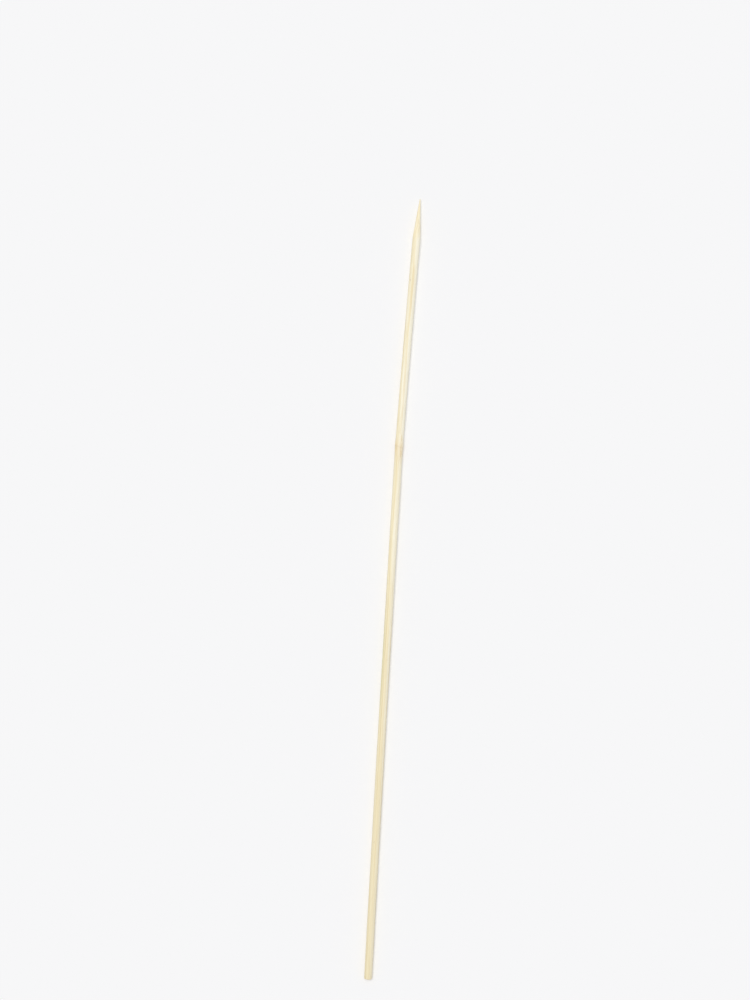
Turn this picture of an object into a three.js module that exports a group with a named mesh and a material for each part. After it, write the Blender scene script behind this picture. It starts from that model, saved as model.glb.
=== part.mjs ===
// A bamboo skewer: one round rod of split cane, sawn square at one end and ground to a point at
// the other. It lies on its side as it comes to rest, with its slight bow flat on the table.
// Millimetres. +Z is up, +Y runs from the blunt end to the point, and the bow goes towards -X.

import * as THREE from "three";

// The rod
const LENGTH = 300;
const SHAFT_DIAMETER = 3;

// The sawn end, whose rim is worn round where the cut rods are tumbled together
const BUTT_RIM_RADIUS = 0.25;

// The ground point, with the soft shoulder that the grinding belt leaves where it begins
const POINT_LENGTH = 15;
const POINT_END_DIAMETER = 0.4;
const SHOULDER_LENGTH = 3;

// The knot where the living cane had its joint: the rod swells a little to both sides there, while
// its top and underside are cut level with the rest
const KNOT_FROM_BUTT = 205;
const KNOT_LENGTH = 8;
const KNOT_SWELL = 0.09;

// How far the rod turns sideways along the cane below the knot, at the knot and above it
const TURN_BELOW_KNOT = 0.4;
const TURN_AT_KNOT = 1;
const TURN_ABOVE_KNOT = 0.6;

// Facets: the sides of a section, the sections of each curved stretch, and the most that the
// sections of the plain shaft lie apart
const SIDES = 32;
const CURVE_STEPS = 8;
const SHAFT_STEP = 7;

const BAMBOO = 0xe6d8b4;

const shaftRadius = SHAFT_DIAMETER / 2;
const pointEndRadius = POINT_END_DIAMETER / 2;
const knotStart = KNOT_FROM_BUTT - KNOT_LENGTH / 2;
const knotEnd = KNOT_FROM_BUTT + KNOT_LENGTH / 2;
const shoulderStart = LENGTH - POINT_LENGTH - SHOULDER_LENGTH / 2;
const shoulderEnd = LENGTH - POINT_LENGTH + SHOULDER_LENGTH / 2;

// Points of a stretch of straight shaft, both ends included
function straight(from, to, steps) {
  const stretch = new THREE.LineCurve(
    new THREE.Vector2(shaftRadius, from),
    new THREE.Vector2(shaftRadius, to),
  );
  return stretch.getPoints(Math.max(1, Math.ceil(steps)));
}

// Points of the sawn end: a flat disc, then a quarter round at its rim
function sawnEnd() {
  const rim = new THREE.EllipseCurve(
    shaftRadius - BUTT_RIM_RADIUS,
    BUTT_RIM_RADIUS,
    BUTT_RIM_RADIUS,
    BUTT_RIM_RADIUS,
    -Math.PI / 2,
    0,
  );
  return [new THREE.Vector2(0, 0), ...rim.getPoints(CURVE_STEPS)];
}

// Points of the ground point: the shoulder bends from the shaft into the cone, which runs straight
// to a small round end
function groundPoint() {
  const coneStart = new THREE.Vector2(shaftRadius, LENGTH - POINT_LENGTH);
  const coneEnd = new THREE.Vector2(pointEndRadius, LENGTH - pointEndRadius);
  const down = (shoulderEnd - coneStart.y) / (coneEnd.y - coneStart.y);
  const shoulder = new THREE.QuadraticBezierCurve(
    new THREE.Vector2(shaftRadius, shoulderStart),
    coneStart,
    coneStart.clone().lerp(coneEnd, down),
  );
  const tip = new THREE.EllipseCurve(
    0,
    coneEnd.y,
    pointEndRadius,
    pointEndRadius,
    0,
    Math.PI / 2,
  );
  return [...shoulder.getPoints(CURVE_STEPS), ...tip.getPoints(CURVE_STEPS / 2)];
}

// Half the rod's outline, from the middle of the sawn end round to the tip of the point, as
// (distance from the middle line, distance from the sawn end)
function outline() {
  return [
    ...sawnEnd(),
    ...straight(BUTT_RIM_RADIUS, knotStart, (knotStart - BUTT_RIM_RADIUS) / SHAFT_STEP).slice(1),
    ...straight(knotStart, knotEnd, CURVE_STEPS).slice(1),
    ...straight(knotEnd, shoulderStart, (shoulderStart - knotEnd) / SHAFT_STEP).slice(1),
    ...groundPoint().slice(1),
  ];
}

// How far a line that bends evenly through one radian between two stations has gone sideways
function drift(along, from, to) {
  const inside = THREE.MathUtils.clamp(along, from, to) - from;
  const past = Math.max(along - to, 0);
  return (inside * inside) / (2 * (to - from)) + past;
}

// Where the rod's middle line lies sideways at a station, if it set out straight along Y
function bend(along) {
  return (
    THREE.MathUtils.degToRad(TURN_BELOW_KNOT) * drift(along, 0, knotStart) +
    THREE.MathUtils.degToRad(TURN_AT_KNOT) * drift(along, knotStart, knotEnd) +
    THREE.MathUtils.degToRad(TURN_ABOVE_KNOT) * drift(along, knotEnd, LENGTH)
  );
}

// The same, turned so that both ends lie on one line along Y. The turns are so slight that the
// sections stay square to that line.
function bow(along) {
  return bend(along) - (bend(LENGTH) * along) / LENGTH;
}

// How much wider than the shaft the rod is at a station: none, rising smoothly to the full swell
// in the middle of the knot
function widening(along) {
  const fromMiddle = Math.min(Math.abs(along - KNOT_FROM_BUTT) / (KNOT_LENGTH / 2), 1);
  const share = 1 - THREE.MathUtils.smoothstep(fromMiddle, 0, 1);
  return 1 + (share * KNOT_SWELL) / shaftRadius;
}

// The round rod, turned about Y with a flat of its facets at the underside
function rod() {
  const shape = new THREE.LatheGeometry(outline(), SIDES, Math.PI / SIDES);
  const places = shape.getAttribute("position");
  for (let i = 0; i < places.count; i++) {
    const along = places.getY(i);
    places.setX(i, places.getX(i) * widening(along) + bow(along));
  }
  shape.computeVertexNormals();
  return shape;
}

// Sets the rod on the table, with the middle of its box at the origin
function laidDown(shape) {
  shape.computeBoundingBox();
  const box = shape.boundingBox;
  const middle = box.getCenter(new THREE.Vector3());
  return shape.translate(-middle.x, -middle.y, -box.min.z);
}

const skewer = new THREE.Mesh(
  laidDown(rod()),
  new THREE.MeshStandardMaterial({ color: BAMBOO, roughness: 0.62, metalness: 0 }),
);
skewer.name = "skewer";

const group = new THREE.Group();
group.add(skewer);

export default group;
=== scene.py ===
# %% [markdown]
# # A bamboo skewer
#
# The object is one thin rod of split cane: sawn square at one end, ground to a point at the other,
# and a little bent where the living cane had a joint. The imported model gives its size, its place
# and its bend. This script models the same rod again as a fine mesh, with the grain that a split
# cane shows, and photographs it on a pale floor.

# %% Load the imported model
import math
from bisect import bisect_right

import bmesh
import bpy
from mathutils import Matrix, Vector, noise


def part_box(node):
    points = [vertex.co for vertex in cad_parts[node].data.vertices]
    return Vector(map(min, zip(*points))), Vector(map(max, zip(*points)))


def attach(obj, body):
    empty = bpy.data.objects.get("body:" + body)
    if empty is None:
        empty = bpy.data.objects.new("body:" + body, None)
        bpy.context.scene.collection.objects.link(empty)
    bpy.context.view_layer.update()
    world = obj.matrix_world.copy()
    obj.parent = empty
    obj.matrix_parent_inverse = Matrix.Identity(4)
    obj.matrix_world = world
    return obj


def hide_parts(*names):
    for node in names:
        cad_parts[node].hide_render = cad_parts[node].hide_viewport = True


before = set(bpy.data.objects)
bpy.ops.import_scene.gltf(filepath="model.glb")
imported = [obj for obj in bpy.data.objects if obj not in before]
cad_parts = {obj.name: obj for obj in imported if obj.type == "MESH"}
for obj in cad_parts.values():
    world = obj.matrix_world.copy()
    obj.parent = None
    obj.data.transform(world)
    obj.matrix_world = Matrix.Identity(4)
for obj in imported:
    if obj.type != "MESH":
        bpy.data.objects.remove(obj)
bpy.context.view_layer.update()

MM = 0.001

# %% [markdown]
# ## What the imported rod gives
#
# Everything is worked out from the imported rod, so that the fine mesh lies exactly where it does.
# Its box gives the length and the thickness. Its rings of vertices give the middle line: each ring
# lies at one station along Y, and the middle of the ring says how far the rod has bowed sideways.
# Reading the line from the rings is safer than writing the bend down a second time.

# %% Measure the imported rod
NODE = "skewer"
low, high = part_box(NODE)
length = high.y - low.y
shaft_radius = (high.z - low.z) / 2
print(f"rod {length / MM:.1f} mm long, {2 * shaft_radius / MM:.2f} mm thick")


def ring_middles(mesh):
    """The stations of a rod's rings along Y, and how far to the side the middle of each ring is."""
    rings = {}
    for vertex in mesh.vertices:
        rings.setdefault(round(vertex.co.y, 6), []).append(vertex.co.x)
    stations = sorted(rings)
    return stations, [(min(rings[y]) + max(rings[y])) / 2 for y in stations]


stations, middles = ring_middles(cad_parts[NODE].data)
print(f"{len(stations)} rings, bowed by {(max(middles) - min(middles)) / MM:.2f} mm")


def middle_at(y):
    """How far to the side the rod's middle line is at a place along Y."""
    after = min(max(bisect_right(stations, y), 1), len(stations) - 1)
    before = after - 1
    share = (y - stations[before]) / (stations[after] - stations[before])
    return middles[before] + (middles[after] - middles[before]) * min(max(share, 0), 1)


# %% [markdown]
# ## Turning the rod
#
# A rod with a point is a turned form, so it is made as a turner would: draw half the outline, then
# spin it. A cylinder and a cone joined by a boolean would also do, but would leave a hard line at
# the shoulder and long faces that nothing can be carved into. In the outline the three corners are
# rounded while they are still single vertices, and each stretch is cut into as many short pieces
# as its detail needs. For now the rod is straight, with its sawn end at zero along Y.

# %% Sizes of the outline
RIM_ROUND = 0.25 * MM
NEAR_RIM = 3 * MM
KNOT_PLACE = 205 * MM
KNOT_REACH = 9 * MM
SHOULDER_ROUND = 1.5 * MM
POINT_LENGTH = 15 * MM
POINT_END_RADIUS = 0.16 * MM
TIP_ROUND = 0.08 * MM
TINY = 1e-7  # shorter than any edge of the mesh
shoulder = length - POINT_LENGTH
print(f"the point begins {shoulder / MM:.1f} mm from the sawn end")

# %% Cuts in each stretch of the outline
BUTT_CUTS = 12
NEAR_RIM_CUTS = 14
LOWER_SHAFT_CUTS = 104
KNOT_CUTS = 48
UPPER_SHAFT_CUTS = 50
POINT_CUTS = 84

# %% Draw half the outline


def rounded(bm, corner, offset, steps):
    """Rounds one corner of a drawn line."""
    bmesh.ops.bevel(bm, geom=[corner], offset=offset, offset_type="OFFSET", segments=steps,
                    profile=0.5, affect="VERTICES", material=-1)


def cut_stretch(bm, start, end, cuts):
    """Cuts the one drawn line that fills most of a stretch along Y into short pieces."""
    found = [e for e in bm.edges
             if start - TINY < min(v.co.y for v in e.verts)
             and max(v.co.y for v in e.verts) < end + TINY
             and e.calc_length() > 0.5 * (end - start)]
    bmesh.ops.subdivide_edges(bm, edges=found, cuts=cuts)


def half_outline():
    """The rod's half outline, drawn with vertices only at its corners and at its stretches' ends."""
    bm = bmesh.new()
    knot_start, knot_end = KNOT_PLACE - KNOT_REACH, KNOT_PLACE + KNOT_REACH
    corners = [bm.verts.new(place) for place in (
        (0, 0, 0),
        (shaft_radius, 0, 0),
        (shaft_radius, NEAR_RIM, 0),
        (shaft_radius, knot_start, 0),
        (shaft_radius, knot_end, 0),
        (shaft_radius, shoulder, 0),
        (POINT_END_RADIUS, length - 0.6 * POINT_END_RADIUS, 0),
        (0, length, 0),
    )]
    for one, other in zip(corners, corners[1:]):
        bm.edges.new((one, other))
    rim, shoulder_corner, tip_corner = corners[1], corners[5], corners[6]
    rounded(bm, rim, RIM_ROUND, steps=6)
    rounded(bm, shoulder_corner, SHOULDER_ROUND, steps=10)
    rounded(bm, tip_corner, TIP_ROUND, steps=3)
    cut_stretch(bm, RIM_ROUND, NEAR_RIM, NEAR_RIM_CUTS)
    cut_stretch(bm, NEAR_RIM, knot_start, LOWER_SHAFT_CUTS)
    cut_stretch(bm, knot_start, knot_end, KNOT_CUTS)
    cut_stretch(bm, knot_end, shoulder - SHOULDER_ROUND, UPPER_SHAFT_CUTS)
    cut_stretch(bm, shoulder + 0.9 * SHOULDER_ROUND, length, POINT_CUTS)
    across_butt = [e for e in bm.edges if max(v.co.y for v in e.verts) < TINY]
    bmesh.ops.subdivide_edges(bm, edges=across_butt, cuts=BUTT_CUTS)
    print(f"half outline of {len(bm.verts)} vertices")
    return bm


# %% [markdown]
# A full spin welds its last copy to its first only with `use_merge`. The two ends of the outline
# lie on the axis, so their copies fall on one spot and are merged as well. Then the faces are told
# which way is out, because a spin does not know. Last, they are put in order, because a spin leaves
# the same faces in another order each time that it runs.

# %% Spin the outline
SIDES = 240


def put_in_order(bm):
    """Puts the faces in the order of their vertices' numbers."""
    bm.verts.index_update()
    in_order = sorted(bm.faces, key=lambda face: sorted(vertex.index for vertex in face.verts))
    for number, face in enumerate(in_order):
        face.index = number
    bm.faces.sort()


def turned_rod():
    """The straight rod, turned from its half outline."""
    bm = half_outline()
    bmesh.ops.spin(bm, geom=bm.verts[:] + bm.edges[:], cent=(0, 0, 0), axis=(0, 1, 0),
                   angle=2 * math.pi, steps=SIDES, use_merge=True)
    bmesh.ops.remove_doubles(bm, verts=bm.verts, dist=TINY)
    bmesh.ops.recalc_face_normals(bm, faces=bm.faces)
    put_in_order(bm)
    print(f"turned rod of {len(bm.faces)} faces")
    return bm


rod = turned_rod()

# %% [markdown]
# ## The cane inside the rod
#
# Grain belongs to the cane, not to the surface: a rod is cut out of a block of fibres, and each
# cut shows the fibres that it meets. So each vertex keeps its place in the straight, uncarved cane
# as an attribute, in millimetres. A pattern that reads it runs along the shaft, is cut off at a
# slant by the ground point and shows as dots on the sawn end, and it bends with the rod.

# %% Keep each vertex's place in the cane
CANE_PLACE = "cane_mm"


def remember_cane(bm):
    """Writes each vertex's present place, in millimetres, to the attribute the materials read."""
    layer = bm.verts.layers.float_vector.new(CANE_PLACE)
    for vertex in bm.verts:
        vertex[layer] = vertex.co / MM


remember_cane(rod)
print("places kept for", len(rod.verts), "vertices")

# %% [markdown]
# ## Laying the surface out flat
#
# A texture baked from this rod needs a flat layout. One strip three hundred millimetres long and
# nine wide would waste a square picture, so the surface is cut into rows, as a long text is cut
# into lines: each row holds fifty millimetres of the shaft, unrolled, with a seam on the underside.
# The sawn end gets a small field of its own above the rows.

# %% Lay out the rows
ROWS = 6
ROWS_SHARE = 0.93
ROW_MARGIN = 0.03
OVERLAP = 2.5 * MM
FIELD_FILL = 0.45
LAYOUT = "OFBake"


def turn_of(place):
    """How far round the rod a place is, from 0 to 1, starting at the underside."""
    return (math.atan2(-place.x, place.z) / (2 * math.pi) + 0.5) % 1


def lay_out(bm):
    """Gives the rod its layout: unrolled rows for its length, a round field for its sawn end."""
    layer = bm.loops.layers.uv.new(LAYOUT)
    row_length = length / ROWS
    row_height = ROWS_SHARE / ROWS
    field = 1 - ROWS_SHARE
    for face in bm.faces:
        middle = face.calc_center_median()
        on_butt = max(v.co.y for v in face.verts) < TINY
        row = min(int(middle.y / row_length), ROWS - 1)
        turn = turn_of(middle)
        for loop in face.loops:
            place = loop.vert.co
            if on_butt:
                u = field * (0.5 + FIELD_FILL * place.x / shaft_radius)
                v = ROWS_SHARE + field * (0.5 + FIELD_FILL * place.z / shaft_radius)
            else:
                off_axis = math.hypot(place.x, place.z) > TINY
                own_turn = turn_of(place) if off_axis else turn
                own_turn += round(turn - own_turn)
                u = (place.y - row * row_length + OVERLAP) / (row_length + 2 * OVERLAP)
                v = row_height * (row + ROW_MARGIN + (1 - 2 * ROW_MARGIN) * own_turn)
            loop[layer].uv = (u, v)


lay_out(rod)
print(f"{ROWS} rows, each of {length / ROWS / MM:.0f} mm of the rod")

# %% [markdown]
# ## Carving the surface
#
# A real skewer is pushed through a round die and tumbled, so it is round only at first sight. Its
# surface keeps long low ridges where hard bundles of fibre stand out of the softer cane, its
# thickness changes slowly, and the ground point has the flats of the grinding belt. Each of these
# is a small move of the vertices, outwards or inwards, by smooth noise that is stretched along the
# cane. A displacement texture could do the same, but moves in code can tell the shaft, the knot,
# the point and the sawn end apart.

# %% Helpers for the carving


def soft_step(value, start, end):
    """0 before start, 1 after end, and a smooth rise between."""
    share = min(max((value - start) / (end - start), 0), 1)
    return share * share * (3 - 2 * share)


def hill(value, top, reach):
    """1 at the top, falling smoothly to 0 at that reach to each side."""
    return 1 - soft_step(abs(value - top), 0, reach)


def stretched_noise(place, across, along, seed):
    """Smooth noise from -1 to 1 with features of these sizes across and along the cane."""
    return noise.noise((place.x / across + seed, place.y / along, place.z / across - seed))


# %% [markdown]
# The shaft gets three waves: the slow change of thickness, the ridges of the fibre bundles about
# half a millimetre apart, and fine fibres. The depths are a few hundredths of a millimetre, which
# is what a fingertip still feels. Each wave has a seed of its own, so that no two of them line up.

# %% Carve the shaft
SLOW_DEPTH = 0.03 * MM
RIDGE_DEPTH = 0.022 * MM
FIBRE_DEPTH = 0.008 * MM


def shaft_relief(place):
    """How far the surface of the shaft stands out at a place in the cane."""
    slow = stretched_noise(place, across=2.4 * MM, along=38 * MM, seed=3.1)
    ridge = stretched_noise(place, across=0.42 * MM, along=16 * MM, seed=11.7)
    ridge = 0.5 - abs(ridge) * 2
    fibre = stretched_noise(place, across=0.13 * MM, along=7 * MM, seed=23.9)
    return SLOW_DEPTH * slow + RIDGE_DEPTH * ridge + FIBRE_DEPTH * fibre


# %% [markdown]
# The knot is where the cane had its joint. The rod swells to both sides there, with a low ridge
# that runs a little askew, a groove beside it, and knurled fibres all round. The ridge and the
# groove fade out towards the underside, so that the rod lies as before.

# %% Carve the knot
KNOT_SWELL = 0.09 * MM
KNOT_SWELL_REACH = 4 * MM
KNOT_SLANT = 0.35
KNOT_WOBBLE = 0.4 * MM
KNOT_RIDGE = 0.03 * MM
KNOT_GROOVE = 0.02 * MM
KNURL_DEPTH = 0.02 * MM
KNURL_REACH = 5 * MM


def knot_relief(place):
    """How far the knot stands out: its swelling, and its slanting ridge with the groove beside it."""
    unit_side = place.x / shaft_radius
    wobble = KNOT_WOBBLE * stretched_noise(place, across=1.1 * MM, along=9 * MM, seed=5.3)
    slanted = place.y + KNOT_SLANT * place.x + wobble
    swell = KNOT_SWELL * hill(place.y, KNOT_PLACE, KNOT_SWELL_REACH) * unit_side * unit_side
    off_underside = soft_step(place.z / shaft_radius, -0.9, -0.2)
    ridge = KNOT_RIDGE * hill(slanted, top=KNOT_PLACE + 0.4 * MM, reach=1.7 * MM)
    groove = KNOT_GROOVE * hill(slanted, top=KNOT_PLACE - 1.5 * MM, reach=1.2 * MM)
    knurl = KNURL_DEPTH * hill(place.y, KNOT_PLACE, KNURL_REACH)
    knurl *= stretched_noise(place, across=0.35 * MM, along=1.6 * MM, seed=8.8)
    return swell + off_underside * (ridge - groove) + knurl


# %% [markdown]
# The point is ground on a belt while the rod turns, which leaves about a dozen uneven flats that
# wander up the cone, scratches round it, and short furrows where fibres were torn out.

# %% Carve the point
FLATS = 11
FLAT_DEPTH = 0.035 * MM
FLAT_WANDER = 7
SCRATCH_DEPTH = 0.008 * MM
FURROW_DEPTH = 0.05 * MM


def point_relief(place, girth):
    """How far the surface of the ground point stands out, where the cone has this radius."""
    angle = math.atan2(place.x, place.z)
    wander = FLAT_WANDER * stretched_noise(place, across=4 * MM, along=12 * MM, seed=2.2)
    unevenness = 0.6 + 0.4 * math.sin(2 * angle + 1)
    flats = unevenness * math.cos(FLATS * angle + wander)
    scratches = stretched_noise(place, across=1.2 * MM, along=0.22 * MM, seed=31.4)
    furrows = max(stretched_noise(place, across=0.22 * MM, along=2.6 * MM, seed=17.5), 0) ** 2
    share = min(girth / shaft_radius + 0.15, 1)
    return share * (FLAT_DEPTH * flats + SCRATCH_DEPTH * scratches - FURROW_DEPTH * furrows)


# %% [markdown]
# The sawn end has the marks that the teeth left in passing, with some fuzz in them, and a rim from
# which chips have broken.

# %% Carve the sawn end
CHIP_DEPTH = 0.11 * MM
CHIP_REACH = 0.9 * MM
SAW_DEPTH = 0.02 * MM
SAW_PITCH = 0.3 * MM
SAW_WAVER = 0.2 * MM


def rim_chips(place):
    """How deep the rim of the sawn end is chipped."""
    chip = stretched_noise(place, across=0.5 * MM, along=1.1 * MM, seed=41.3)
    depth = CHIP_DEPTH * max(chip - 0.12, 0)
    return depth * (1 - soft_step(place.y, 0, CHIP_REACH))


def saw_marks(place):
    """How far the saw has cut in behind the plane of the sawn face, at a place on it."""
    waver = SAW_WAVER * stretched_noise(place, across=1.3 * MM, along=1 * MM, seed=6.6)
    sweep = place.x + 0.35 * place.z + waver
    marks = 0.4 * math.sin(2 * math.pi * sweep / SAW_PITCH)
    fuzz = stretched_noise(place, across=0.12 * MM, along=1 * MM, seed=14.2)
    return SAW_DEPTH * max(marks + fuzz, 0)


# %% [markdown]
# Near the cut end and where the belt began, a few fibres have come away at one end and lift off
# the rod a little. Drawing them out as hairs of their own would leave needle-thin faces, so each is
# a lip in the same skin: it rises slowly along the fibre and drops at once at its free end.

# %% Lift a few splinters
SPLINTER_WIDTH = 0.13 * MM
SPLINTERS = (
    # where each is rooted along the rod and at which share of a turn, how far it is from there to
    # its free end, negative where that points to the sawn end, and how high it lifts: millimetres
    (1.9, 0.06, -1.5, 0.07),
    (2.4, 0.29, -1.9, 0.06),
    (1.5, 0.83, -1.2, 0.09),
    (283.6, 0.21, 1.6, 0.06),
    (284.4, 0.79, 1.4, 0.08),
    (286.1, 0.97, 1.5, 0.07),
)


def splinter_lift(place):
    """How far the splinters stand out at a place on the rod."""
    turn = (math.atan2(place.x, place.z) / (2 * math.pi)) % 1
    lift = 0
    for root, middle_turn, reach, height in SPLINTERS:
        share = (place.y / MM - root) / reach
        aside = 2 * math.pi * shaft_radius * abs(turn - middle_turn)
        if 0 < share < 1:
            lift += height * MM * share * share * hill(aside, 0, SPLINTER_WIDTH)
    return lift


# %% [markdown]
# Now every vertex is moved by what its part of the surface shows. The shaft's relief fades into the
# point's over the shoulder. On the sawn face the relief fades towards the middle, and the face is
# moved along the rod as well, apart from its edge, which the chips have.

# %% Move the vertices
FADE_AT_SHOULDER = 1.2 * MM
MARKS_FADE_FROM = 1.0 * MM
MARKS_FADE_TO = 1.2 * MM


def carve(bm):
    """Moves each vertex of the straight rod by what its part of the surface shows."""
    for vertex in bm.verts:
        place = vertex.co.copy()
        girth = math.hypot(place.x, place.z)
        outwards = Vector((place.x, 0, place.z)).normalized()
        on_point = soft_step(place.y, shoulder - FADE_AT_SHOULDER, shoulder + FADE_AT_SHOULDER)
        relief = (1 - on_point) * (shaft_relief(place) + knot_relief(place))
        relief += on_point * point_relief(place, girth)
        if place.y < RIM_ROUND:
            relief *= soft_step(girth, 0, 0.8 * shaft_radius)
        relief -= rim_chips(place) * girth / shaft_radius
        vertex.co += outwards * (relief + splinter_lift(place))
        if place.y < TINY:
            off_edge = 1 - soft_step(girth, MARKS_FADE_FROM, MARKS_FADE_TO)
            vertex.co.y += off_edge * saw_marks(place)


carve(rod)
reaches = [math.hypot(vertex.co.x, vertex.co.z) for vertex in rod.verts]
print(f"carved rod, at most {max(reaches) / MM:.3f} mm from its middle line")

# %% [markdown]
# ## Bending the rod and laying it down
#
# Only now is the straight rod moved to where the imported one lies. Each vertex goes along Y to its
# station and sideways by the middle line there, and the tip keeps its slight lean to one side.
# Then the whole rod is moved up or down until its lowest vertex touches the floor.

# %% Bend and lay down
TIP_LEAN = 0.07 * MM


def laid_down(bm):
    """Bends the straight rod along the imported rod's middle line and sets it on the floor."""
    for vertex in bm.verts:
        lean = TIP_LEAN * soft_step(vertex.co.y, shoulder, length)
        vertex.co.x += middle_at(vertex.co.y + low.y) + lean
        vertex.co.y += low.y
        vertex.co.z += shaft_radius
    lowest = min(vertex.co.z for vertex in bm.verts)
    bmesh.ops.translate(bm, verts=bm.verts, vec=(0, 0, -lowest))
    print(f"lowest vertex moved from {lowest / MM:.3f} mm to the floor")


laid_down(rod)

# %% [markdown]
# The finished mesh becomes an object that stays at the origin, unturned, with its place in the mesh
# itself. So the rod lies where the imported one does, and nothing moves its pattern later. It is
# shaded smooth, because its shapes are in its many small faces already.

# %% Make the rod an object


def as_object(bm, name):
    """Turns the finished bmesh into an object at the origin, shaded smooth."""
    bmesh.ops.recalc_face_normals(bm, faces=bm.faces)
    for face in bm.faces:
        face.smooth = True
    mesh = bpy.data.meshes.new(name)
    bm.to_mesh(mesh)
    bm.free()
    made = bpy.data.objects.new(name, mesh)
    bpy.context.scene.collection.objects.link(made)
    return made


bamboo_rod = as_object(rod, "bamboo_rod")
print("triangles:", sum(len(p.vertices) - 2 for p in bamboo_rod.data.polygons))

# %% [markdown]
# ## The look of split cane
#
# Pale cane is cream, with straw-coloured bundles of hard fibre running through softer, whiter
# tissue. The bundles crowd together towards the outside of the cane and thin out towards its
# hollow, so one side of a rod is yellower and finer in its grain than the other. All of it is one
# solid pattern in the cane, read through the attribute that the vertices kept.
#
# The next cell has the few helpers that join shader nodes, so that the material itself can be read
# as a recipe.

# %% Helpers for the material


def srgb(red, green, blue):
    """A colour given as it looks on a screen, from 0 to 255, as the linear numbers Blender wants."""
    def linear(value):
        share = value / 255
        return share / 12.92 if share <= 0.04045 else ((share + 0.055) / 1.055) ** 2.4
    return (linear(red), linear(green), linear(blue), 1)


class Recipe:
    """A material's node tree, with a short name for each kind of node that the recipe uses."""

    def __init__(self, name):
        self.material = bpy.data.materials.new(name)
        self.material.use_nodes = True
        self.tree = self.material.node_tree
        self.shader = self.tree.nodes["Principled BSDF"]

    def feed(self, socket, value):
        """Puts a number, a colour or another node's output into a socket."""
        if isinstance(value, bpy.types.NodeSocket):
            self.tree.links.new(value, socket)
        else:
            socket.default_value = value

    def math(self, operation, *values):
        """One step of arithmetic on numbers or other nodes' outputs."""
        node = self.tree.nodes.new("ShaderNodeMath")
        node.operation = operation
        for socket, value in zip(node.inputs, values):
            self.feed(socket, value)
        return node.outputs[0]

    def part_of(self, share, value):
        """A value times a share of it."""
        return self.math("MULTIPLY", value, share)

    def off(self, value, middle):
        """How far a value is from a middle one, to either side."""
        return self.math("ABSOLUTE", self.math("SUBTRACT", value, middle))

    def ramp(self, value, start, end, at_start=0.0, at_end=1.0):
        """A smooth change from what holds up to the start to what holds from the end on."""
        node = self.tree.nodes.new("ShaderNodeMapRange")
        node.interpolation_type = "SMOOTHSTEP"
        for socket, given in zip(node.inputs, (value, start, end, at_start, at_end)):
            self.feed(socket, given)
        return node.outputs[0]

    def stretch(self, vector, across, along):
        """The place in the cane, counted in steps of these sizes across and along it."""
        node = self.tree.nodes.new("ShaderNodeMapping")
        self.feed(node.inputs["Vector"], vector)
        node.inputs["Scale"].default_value = (1 / across, 1 / along, 1 / across)
        return node.outputs[0]

    def noise(self, vector, detail=2.0, roughness=0.5, wanted="Fac"):
        """Smooth noise: a number from 0 to 1, or a vector of three such where Color is wanted."""
        node = self.tree.nodes.new("ShaderNodeTexNoise")
        self.feed(node.inputs["Vector"], vector)
        node.inputs["Scale"].default_value = 1
        node.inputs["Detail"].default_value = detail
        node.inputs["Roughness"].default_value = roughness
        return node.outputs[wanted]

    def cells(self, vector):
        """How far it is to the middle of the nearest of many cells, in cells."""
        node = self.tree.nodes.new("ShaderNodeTexVoronoi")
        self.feed(node.inputs["Vector"], vector)
        node.inputs["Scale"].default_value = 1
        node.inputs["Randomness"].default_value = 0.9
        return node.outputs["Distance"]

    def vector_math(self, operation, one, other):
        """One step of arithmetic on vectors."""
        node = self.tree.nodes.new("ShaderNodeVectorMath")
        node.operation = operation
        self.feed(node.inputs[0], one)
        self.feed(node.inputs["Scale" if operation == "SCALE" else 1], other)
        return node.outputs[0]

    def blend(self, share, one, other):
        """Goes from one colour to the other as share goes from 0 to 1."""
        node = self.tree.nodes.new("ShaderNodeMix")
        node.data_type = "RGBA"
        self.feed(node.inputs[0], share)
        self.feed(node.inputs[6], one)
        self.feed(node.inputs[7], other)
        return node.outputs[2]


# %% [markdown]
# The colours are named for what they are on the cane, and one for a painted shade towards the sawn
# end. They are written as they look under plain light, because the lamps below are set so that a
# colour renders about as it is written.

# %% Colours of the cane
INNER_CANE = srgb(253, 248, 229)
OUTER_CANE = srgb(247, 236, 202)
BUNDLE = srgb(219, 195, 141)
FINE_FIBRE = srgb(235, 220, 182)
FLECK = srgb(150, 112, 66)
KNOT_TINT = srgb(228, 197, 146)
# painted shade: the rod darker and a little yellower towards its sawn end
SAWN_END_PAINTED_SHADE = srgb(230, 217, 180)
SKIN_GREEN = srgb(210, 204, 140)
GROUND_CANE = srgb(252, 232, 180)
END_GRAIN = srgb(226, 205, 164)
END_BUNDLE = srgb(172, 132, 84)

# %% [markdown]
# Every pattern starts from the place in the cane. No fibre runs dead straight, so the place is
# first moved a little by slow noise. Near the knot it is moved once more, by quicker noise, which
# makes the fibres swerve there as they do in the real cane.

# %% The place in the cane
KNOT_SWERVE = 0.8


def strayed(recipe, place, across, along, reach):
    """A place moved by noise with features of these sizes, by up to the reach in millimetres."""
    stray = recipe.noise(recipe.stretch(place, across, along), wanted="Color")
    return recipe.vector_math("ADD", place, recipe.vector_math("SCALE", stray, reach))


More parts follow.
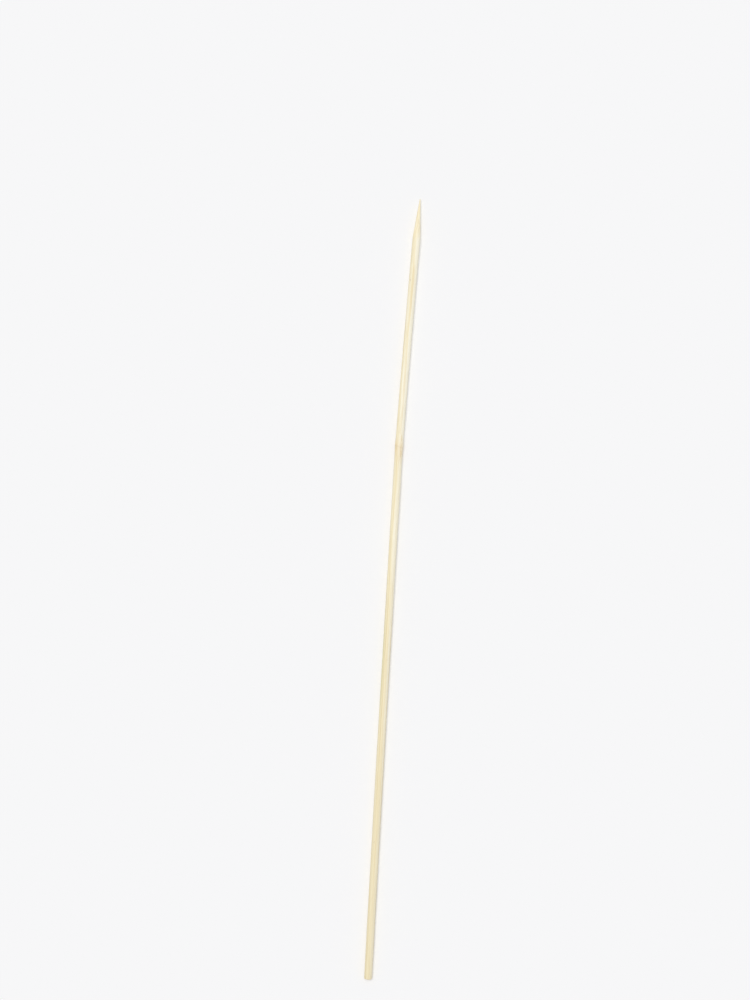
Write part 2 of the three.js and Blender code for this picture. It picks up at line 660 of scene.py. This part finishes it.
def cane_place(recipe):
    """The place in the cane in millimetres: its X and Y, and the place where its fibre comes from."""
    attribute = recipe.tree.nodes.new("ShaderNodeAttribute")
    attribute.attribute_name = CANE_PLACE
    place = attribute.outputs["Vector"]
    parts = recipe.tree.nodes.new("ShaderNodeSeparateXYZ")
    recipe.feed(parts.inputs[0], place)
    across, along, _ = parts.outputs
    fibre = strayed(recipe, place, across=30, along=26, reach=0.9)
    off_knot = recipe.off(along, KNOT_PLACE / MM)
    swerve = recipe.ramp(off_knot, start=0.5, end=8, at_start=KNOT_SWERVE, at_end=0)
    return across, along, strayed(recipe, fibre, across=1.3, along=3.2, reach=swerve)


# %% [markdown]
# The ground colour goes from the whitish inner side of the cane to the straw-coloured outer side, in
# long uneven streaks, and a painted shade makes the rod darker and a little yellower towards its sawn
# end. A ramp across the rod alone would draw one straight border, so the streaks are added to it
# before it is read.

# %% Ground colour
STREAK_CONTRAST = 1.7
STREAK_LEVEL = -0.18
OUTER_PER_MM_ACROSS = -0.22
OUTER_PER_MM_ALONG = -0.0017
# how strong the painted shade is at the sawn end
PAINTED_SHADE_STRENGTH = 0.5


def outer_share(recipe, across, along, fibre):
    """0 where the cane is of the inner kind and 1 where it is of the outer kind."""
    streaks = recipe.noise(recipe.stretch(fibre, across=1, along=60), detail=3)
    share = recipe.math("MULTIPLY_ADD", streaks, STREAK_CONTRAST, STREAK_LEVEL)
    share = recipe.math("MULTIPLY_ADD", across, OUTER_PER_MM_ACROSS, share)
    share = recipe.math("MULTIPLY_ADD", along, OUTER_PER_MM_ALONG, share)
    return recipe.ramp(share, start=0.05, end=0.65)


def painted_shade_share(recipe, along):
    """How strongly the painted shade darkens the rod, from the sawn end to well up the rod."""
    return recipe.ramp(along, start=0, end=250, at_start=PAINTED_SHADE_STRENGTH, at_end=0)


# %% [markdown]
# The bundles are cells stretched about two hundred millimetres long, so that they show as lines on
# the side of the rod and as dots on its end. They lie wide apart on the inner side and close
# together on the outer side. The fine fibres between them are noise, which is less regular than
# cells, and the few dark flecks are short cells.

# %% Bundles, fine fibres and flecks


def strands(recipe, fibre, across, along, core, edge):
    """1 in the core of each of many cells of these sizes, and 0 from its edge on."""
    off_middle = recipe.cells(recipe.stretch(fibre, across, along))
    return recipe.ramp(off_middle, start=core, end=edge, at_start=1, at_end=0)


def bundle_share(recipe, fibre, outer):
    """1 in the middle of a bundle of hard fibre and 0 between the bundles."""
    wide = strands(recipe, fibre, across=0.62, along=210, core=0.2, edge=0.42)
    close = strands(recipe, fibre, across=0.3, along=150, core=0.2, edge=0.46)
    return recipe.math("MAXIMUM", wide, recipe.part_of(outer, close))


def seen_share(recipe, fibre):
    """How much of a bundle is seen, which changes as it runs in and out of the rod's surface."""
    depth = recipe.noise(recipe.stretch(fibre, across=0.8, along=22))
    return recipe.ramp(depth, start=0.3, end=0.6, at_start=0.35)


def fine_share(recipe, fibre):
    """1 on the fine fibres and 0 in the soft tissue between them."""
    fine = recipe.noise(recipe.stretch(fibre, across=0.09, along=5), detail=4, roughness=0.6)
    return recipe.ramp(fine, start=0.42, end=0.72)


def fleck_share(recipe, fibre):
    """1 in a few short dark flecks, which are picked out of many cells by a coarser noise."""
    flecks = strands(recipe, fibre, across=0.5, along=7, core=0.03, edge=0.13)
    coarse = recipe.noise(recipe.stretch(fibre, across=1.6, along=14))
    return recipe.part_of(recipe.ramp(coarse, start=0.6, end=0.66), flecks)


# %% [markdown]
# Four places differ from the plain shaft. The knot has a soft tan tint with ragged ends and one
# faint line across. A trace of the green skin was left on the outer side. The ground point is a
# shade warmer, because the belt has cut its fibres open. On the sawn end the light falls into the
# cut tissue, so it is a shade darker and each bundle is a brown dot.

# %% Knot, skin, point and sawn end
TINT_STRENGTH = 0.3
TINT_RAGGEDNESS = 3.2
LINE_STRENGTH = 0.07
LINE_RAGGEDNESS = 0.9
SKIN_STRENGTH = 0.32
SKIN_PLACE = 120 * MM
GROUND_STRENGTH = 0.3


def knot_shares(recipe, across, along, fibre):
    """How strongly the knot's tint and its line across show."""
    ragged = recipe.noise(recipe.stretch(fibre, across=0.35, along=2.6), detail=3)
    from_knot = recipe.math("SUBTRACT", along, KNOT_PLACE / MM)
    slanted = recipe.math("MULTIPLY_ADD", across, KNOT_SLANT, from_knot)
    off_tint = recipe.math("ABSOLUTE", recipe.math("MULTIPLY_ADD", ragged, TINT_RAGGEDNESS, slanted))
    off_line = recipe.math("ABSOLUTE", recipe.math("MULTIPLY_ADD", ragged, LINE_RAGGEDNESS, slanted))
    tint = recipe.ramp(off_tint, start=0.4, end=6, at_start=TINT_STRENGTH, at_end=0)
    line = recipe.ramp(off_line, start=0.1, end=0.5, at_start=LINE_STRENGTH, at_end=0)
    return tint, line


def skin_share(recipe, across, along):
    """How strongly the trace of green skin shows."""
    off_trace = recipe.off(along, SKIN_PLACE / MM)
    lengthwise = recipe.ramp(off_trace, start=6, end=26, at_start=1, at_end=0)
    sidewise = recipe.ramp(across, start=-1.2, end=-0.7, at_start=SKIN_STRENGTH, at_end=0)
    return recipe.part_of(lengthwise, sidewise)


def ground_share(recipe, along):
    """How much warmer the ground point is, from its shoulder on."""
    at_shoulder = shoulder / MM
    return recipe.ramp(along, start=at_shoulder - 2, end=at_shoulder + 3, at_end=GROUND_STRENGTH)


def end_share(recipe, along):
    """1 on the sawn face and 0 from a quarter of a millimetre behind it."""
    return recipe.ramp(along, start=0.02, end=0.25, at_start=1, at_end=0)


# %% [markdown]
# The hard bundles are polished by the die and the soft tissue between them stays dull, so the
# shares that colour the fibres also steer the roughness. A bump of a fiftieth of a millimetre gives
# the fibres their finest relief, for which the vertices lie too far apart.

# %% Shine and relief of the fibres
SOFT_ROUGHNESS = 0.62
HARD_ROUGHNESS = 0.46
FIBRE_RELIEF = 0.02 * MM


def finish_of_fibres(recipe, hard):
    """Gives hard fibres more shine than soft tissue, and lets them stand out of it."""
    roughness = recipe.ramp(hard, start=0, end=1.6, at_start=SOFT_ROUGHNESS, at_end=HARD_ROUGHNESS)
    recipe.feed(recipe.shader.inputs["Roughness"], roughness)
    relief = recipe.tree.nodes.new("ShaderNodeBump")
    relief.inputs["Strength"].default_value = 0.5
    relief.inputs["Distance"].default_value = FIBRE_RELIEF
    recipe.feed(relief.inputs["Height"], hard)
    recipe.feed(recipe.shader.inputs["Normal"], relief.outputs[0])
    recipe.shader.inputs["IOR"].default_value = 1.45


# %% [markdown]
# The material starts from the ground colour and lays all the others over it, from what fills the
# whole rod down to what shows only on its end. Each has a share that says where it shows.

# %% Mix the material
BUNDLE_STRENGTH = 0.62
FIBRE_STRENGTH = 0.42
END_STRENGTH = 0.6
DOT_STRENGTH = 0.5


def bamboo():
    """The material of split cane, its layers laid over each other."""
    recipe = Recipe("split_bamboo")
    across, along, fibre = cane_place(recipe)
    outer = outer_share(recipe, across, along, fibre)
    cut_bundles = bundle_share(recipe, fibre, outer)
    bundles = recipe.part_of(seen_share(recipe, fibre), cut_bundles)
    fine = fine_share(recipe, fibre)
    tint, line = knot_shares(recipe, across, along, fibre)
    end = end_share(recipe, along)
    dots = recipe.part_of(cut_bundles, end)
    colour = recipe.blend(outer, INNER_CANE, OUTER_CANE)
    for share, layer in (
        # painted shade that darkens the rod towards its sawn end
        (painted_shade_share(recipe, along), SAWN_END_PAINTED_SHADE),
        (recipe.part_of(BUNDLE_STRENGTH, bundles), BUNDLE),
        (recipe.part_of(FIBRE_STRENGTH, fine), FINE_FIBRE),
        (fleck_share(recipe, fibre), FLECK),
        (tint, KNOT_TINT),
        (line, FLECK),
        (skin_share(recipe, across, along), SKIN_GREEN),
        (ground_share(recipe, along), GROUND_CANE),
        (recipe.part_of(END_STRENGTH, end), END_GRAIN),
        (recipe.part_of(DOT_STRENGTH, dots), END_BUNDLE),
    ):
        colour = recipe.blend(share, colour, layer)
    recipe.feed(recipe.shader.inputs["Base Color"], colour)
    finish_of_fibres(recipe, recipe.math("ADD", fine, bundles))
    return recipe.material


bamboo_rod.data.materials.append(bamboo())
print("nodes in the bamboo material:", len(bamboo_rod.data.materials[0].node_tree.nodes))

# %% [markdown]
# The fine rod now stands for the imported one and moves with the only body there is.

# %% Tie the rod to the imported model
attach(bamboo_rod, "root")
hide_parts(NODE)
print(f"{bamboo_rod.name} stands for {NODE}")

# %% [markdown]
# ## The floor
#
# A plain pale floor, large enough that its edge is never near. Its colour is a little below white,
# so that it does not burn out and the rod's soft shadow can be seen on it. It has no shine, so that
# it shows the same colour near and far, and seen from above and from low down.

# %% Lay the floor
FLOOR_SIZE = 12
FLOOR = srgb(247, 247, 248)


def plain_floor():
    """A square pale floor with its middle at the origin."""
    bm = bmesh.new()
    bmesh.ops.create_grid(bm, x_segments=1, y_segments=1, size=FLOOR_SIZE / 2)
    floor = as_object(bm, "floor")
    recipe = Recipe("pale_floor")
    recipe.shader.inputs["Base Color"].default_value = FLOOR
    recipe.shader.inputs["Roughness"].default_value = 1
    recipe.shader.inputs["Specular IOR Level"].default_value = 0
    floor.data.materials.append(recipe.material)
    return floor


plain_floor()
print(f"floor {FLOOR_SIZE} m wide")

# %% [markdown]
# ## The light
#
# Soft light from all round comes from the world, and a key light from high up, a little to the
# left, gives the rod its round shade and a soft shadow on its right. The key is a sun that is drawn
# very wide, because it then lights the floor evenly however far it reaches, and casts the shadow of
# a large soft lamp. The two shares add up to one, so that every colour renders about as written.
# Where the camera or a reflection sees the world itself, it sees the floor's colour instead.

# %% Light from all round
WORLD_SHARE = 0.5


def any_of(tree, shares):
    """1 where any of these outputs is 1."""
    highest = shares[0]
    for share in shares[1:]:
        node = tree.nodes.new("ShaderNodeMath")
        node.operation = "MAXIMUM"
        tree.links.new(highest, node.inputs[0])
        tree.links.new(share, node.inputs[1])
        highest = node.outputs[0]
    return highest


def world_light():
    """Even white light from all round, and the floor's colour where the world itself is seen."""
    world = bpy.data.worlds.new("soft_room")
    bpy.context.scene.world = world
    world.use_nodes = True
    tree = world.node_tree
    backdrop = tree.nodes["Background"]
    backdrop.inputs["Color"].default_value = FLOOR
    backdrop.inputs["Strength"].default_value = 1
    glow = tree.nodes.new("ShaderNodeBackground")
    glow.inputs["Color"].default_value = (1, 1, 1, 1)
    glow.inputs["Strength"].default_value = WORLD_SHARE
    rays = tree.nodes.new("ShaderNodeLightPath")
    seen = [rays.outputs[f"Is {kind} Ray"] for kind in ("Camera", "Glossy", "Transmission")]
    choice = tree.nodes.new("ShaderNodeMixShader")
    tree.links.new(any_of(tree, seen), choice.inputs[0])
    tree.links.new(glow.outputs[0], choice.inputs[1])
    tree.links.new(backdrop.outputs[0], choice.inputs[2])
    tree.links.new(choice.outputs[0], tree.nodes["World Output"].inputs["Surface"])
    print(f"world light of strength {WORLD_SHARE:.2f}")


world_light()

# %% Key light
KEY_SHARE = 0.5
KEY_FROM = Vector((-0.3, 0.4, 2.4)).normalized()
KEY_WIDTH = math.radians(35)


def key_light():
    """A wide sun, as strong as it takes to add its share of white to a level surface."""
    lamp = bpy.data.lights.new("key", "SUN")
    lamp.angle = KEY_WIDTH
    lamp.energy = KEY_SHARE * math.pi / KEY_FROM.z
    holder = bpy.data.objects.new("key", lamp)
    holder.location = KEY_FROM
    holder.rotation_euler = KEY_FROM.to_track_quat("Z", "Y").to_euler()
    bpy.context.scene.collection.objects.link(holder)
    print(f"key light of strength {lamp.energy:.2f}")


key_light()

# %% [markdown]
# ## The camera
#
# The picture shows the rod upright, point up, so the camera looks straight down on it and is
# turned a few degrees. Where the tip and the sawn end fall in the picture fixes everything else:
# the turn of the camera, its height above the rod, and the spot that it hangs over. A long lens
# keeps the perspective slight.

# %% Place the camera
PICTURE = Vector((750, 1000))
TIP_PIXEL = Vector((420, 199))
BUTT_PIXEL = Vector((368, 979))
LENS = 85
SENSOR = 36


def place_camera():
    """Hangs the camera where the tip and the sawn end fall on their places in the picture."""
    rise = Vector((TIP_PIXEL.x - BUTT_PIXEL.x, BUTT_PIXEL.y - TIP_PIXEL.y))
    metres_per_pixel = length / rise.length
    turn = math.atan2(rise.x, rise.y)
    off_centre = (TIP_PIXEL + BUTT_PIXEL) / 2 - PICTURE / 2
    to_spot = Vector((-off_centre.x, off_centre.y)) * metres_per_pixel
    to_spot.rotate(Matrix.Rotation(turn, 2))
    camera = bpy.data.cameras.new("camera")
    camera.lens = LENS
    camera.sensor_width = SENSOR
    height = PICTURE.y * metres_per_pixel * LENS / SENSOR
    holder = bpy.data.objects.new("camera", camera)
    holder.location = (middle_at(low.y) + to_spot.x, to_spot.y, shaft_radius + height)
    holder.rotation_euler = (0, 0, turn)
    bpy.context.scene.collection.objects.link(holder)
    bpy.context.scene.camera = holder
    print(f"camera {height:.3f} m above the rod, turned {math.degrees(turn):.2f} degrees")


place_camera()
bpy.context.scene.view_settings.view_transform = "Standard"
